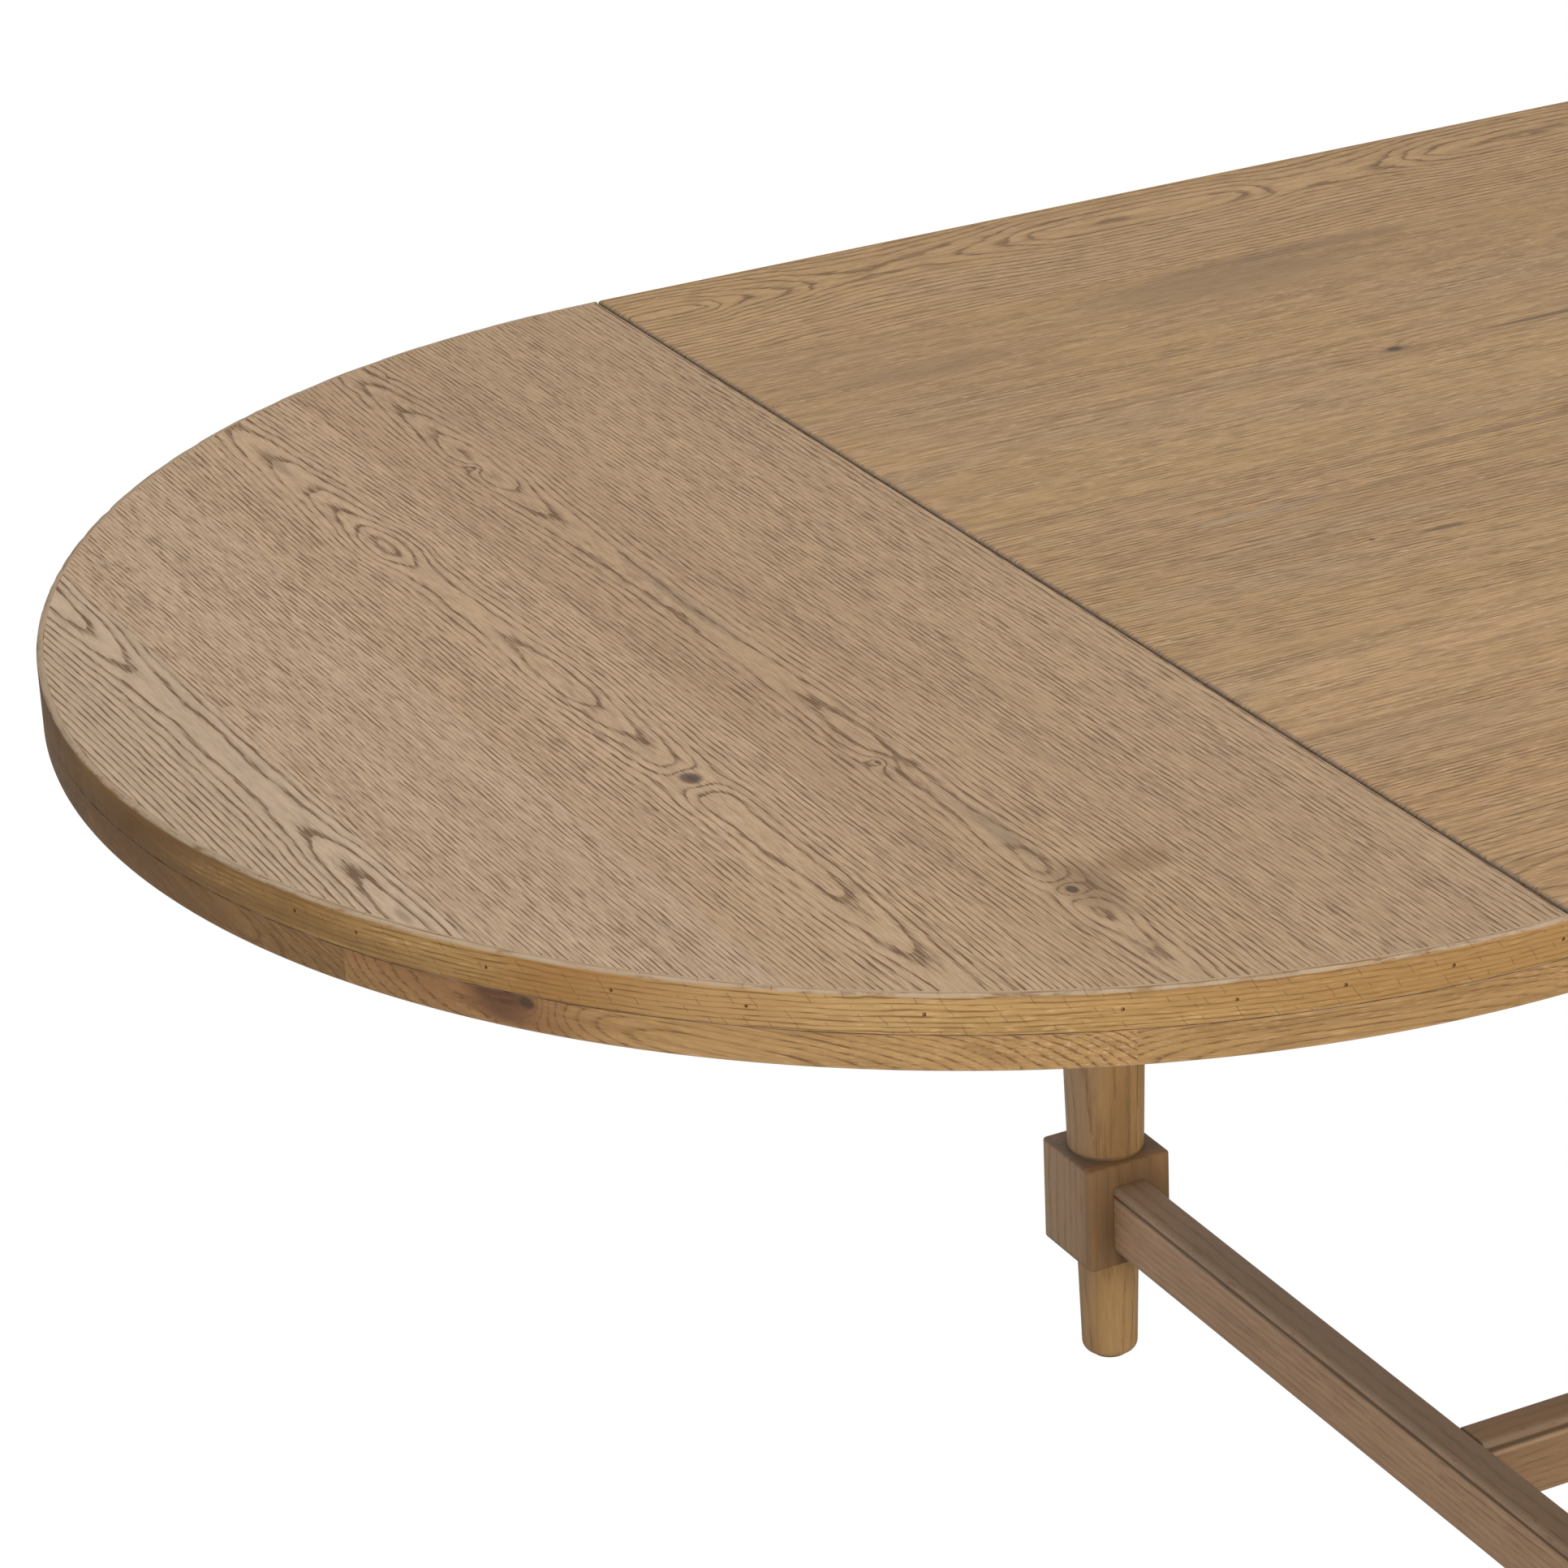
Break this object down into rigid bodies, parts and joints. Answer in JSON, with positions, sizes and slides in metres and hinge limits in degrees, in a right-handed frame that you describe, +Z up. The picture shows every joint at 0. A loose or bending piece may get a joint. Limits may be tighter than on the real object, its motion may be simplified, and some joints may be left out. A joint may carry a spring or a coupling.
{
  "type": "drop-leaf dining table",
  "caption": "Racetrack-shaped oak dining table with a half-round leaf hinged at each end, turned legs with square blocks, and an H-stretcher.",
  "frame": {"origin": "on the floor under the middle of the centre top", "axes": "+Z up, +X along the table's length, +Y across it towards the back edge"},
  "size_m": [2.442, 1.022, 0.762],
  "materials": {
    "centre_top_oak": "matt, open-grained, wire-brushed",
    "leaf_top_oak": "matt, open-grained, wire-brushed",
    "edge_oak": "satin",
    "rim_oak": "satin",
    "inner_oak": "planed, sealed",
    "leg_oak": "satin",
    "stretcher_oak": "satin",
    "apron_oak": "satin",
    "hinge_steel": "zinc plated",
    "stay_steel": "dark plated",
    "glide": "matt nylon"
  },
  "bodies": {
    "frame": {"back_apron": "apron_oak", "back_edge_band": "edge_oak", "back_rim": "rim_oak", "centre_board_1": "centre_top_oak", "centre_board_2": "centre_top_oak", "centre_board_3": "centre_top_oak", "centre_board_4": "centre_top_oak", "centre_board_5": "centre_top_oak", "centre_board_6": "centre_top_oak", "centre_board_7": "centre_top_oak", "centre_board_8": "centre_top_oak", "centre_board_9": "centre_top_oak", "centre_hinge_plates": "hinge_steel", "centre_screws": "hinge_steel", "corner_bolts": "hinge_steel", "corner_braces": "inner_oak", "end_battens": "inner_oak", "foot_glides": "glide", "front_apron": "apron_oak", "front_edge_band": "edge_oak", "front_rim": "rim_oak", "hinge_pins": "hinge_steel", "left_apron": "apron_oak", "left_back_leg": "leg_oak", "left_end_stretcher": "stretcher_oak", "left_front_leg": "leg_oak", "long_stretcher": "stretcher_oak", "right_apron": "apron_oak", "right_back_leg": "leg_oak", "right_end_stretcher": "stretcher_oak", "right_front_leg": "leg_oak", "stay_brackets": "stay_steel", "tabletop_clips": "hinge_steel"},
    "left_back_stay": {"left_back_stay_bar": "stay_steel"},
    "left_front_stay": {"left_front_stay_bar": "stay_steel"},
    "left_leaf": {"left_leaf_battens": "inner_oak", "left_leaf_board_1": "leaf_top_oak", "left_leaf_board_2": "leaf_top_oak", "left_leaf_board_3": "leaf_top_oak", "left_leaf_board_4": "leaf_top_oak", "left_leaf_board_5": "leaf_top_oak", "left_leaf_edge_band": "edge_oak", "left_leaf_hinge_plates": "hinge_steel", "left_leaf_rim": "rim_oak", "left_leaf_screws": "hinge_steel", "left_leaf_stay_tracks": "stay_steel"},
    "right_back_stay": {"right_back_stay_bar": "stay_steel"},
    "right_front_stay": {"right_front_stay_bar": "stay_steel"},
    "right_leaf": {"right_leaf_battens": "inner_oak", "right_leaf_board_1": "leaf_top_oak", "right_leaf_board_2": "leaf_top_oak", "right_leaf_board_3": "leaf_top_oak", "right_leaf_board_4": "leaf_top_oak", "right_leaf_board_5": "leaf_top_oak", "right_leaf_edge_band": "edge_oak", "right_leaf_hinge_plates": "hinge_steel", "right_leaf_rim": "rim_oak", "right_leaf_screws": "hinge_steel", "right_leaf_stay_tracks": "stay_steel"}
  },
  "joints": [
    {"name": "left_leaf_fold", "type": "hinge", "parent": "frame", "child": "left_leaf", "pos_m": [-0.71, 0, 0.72], "axis": [0, -1, 0], "range_deg": [0, 90]},
    {"name": "right_leaf_fold", "type": "hinge", "parent": "frame", "child": "right_leaf", "pos_m": [0.71, 0, 0.72], "axis": [0, 1, 0], "range_deg": [0, 90]},
    {"name": "left_back_stay_swing", "type": "hinge", "parent": "frame", "child": "left_back_stay", "pos_m": [-0.68, 0.243, 0.63], "axis": [0, -1, 0], "range_deg": [0, 107]},
    {"name": "left_front_stay_swing", "type": "hinge", "parent": "frame", "child": "left_front_stay", "pos_m": [-0.68, -0.243, 0.63], "axis": [0, -1, 0], "range_deg": [0, 107]},
    {"name": "right_back_stay_swing", "type": "hinge", "parent": "frame", "child": "right_back_stay", "pos_m": [0.68, 0.243, 0.63], "axis": [0, 1, 0], "range_deg": [0, 107]},
    {"name": "right_front_stay_swing", "type": "hinge", "parent": "frame", "child": "right_front_stay", "pos_m": [0.68, -0.243, 0.63], "axis": [0, 1, 0], "range_deg": [0, 107]}
  ],
  "couplings": [
    {"joint": "left_back_stay_swing", "follows": "left_leaf_fold", "ratio": 1.1889},
    {"joint": "left_front_stay_swing", "follows": "left_leaf_fold", "ratio": 1.1889},
    {"joint": "right_back_stay_swing", "follows": "right_leaf_fold", "ratio": 1.1889},
    {"joint": "right_front_stay_swing", "follows": "right_leaf_fold", "ratio": 1.1889}
  ]
}
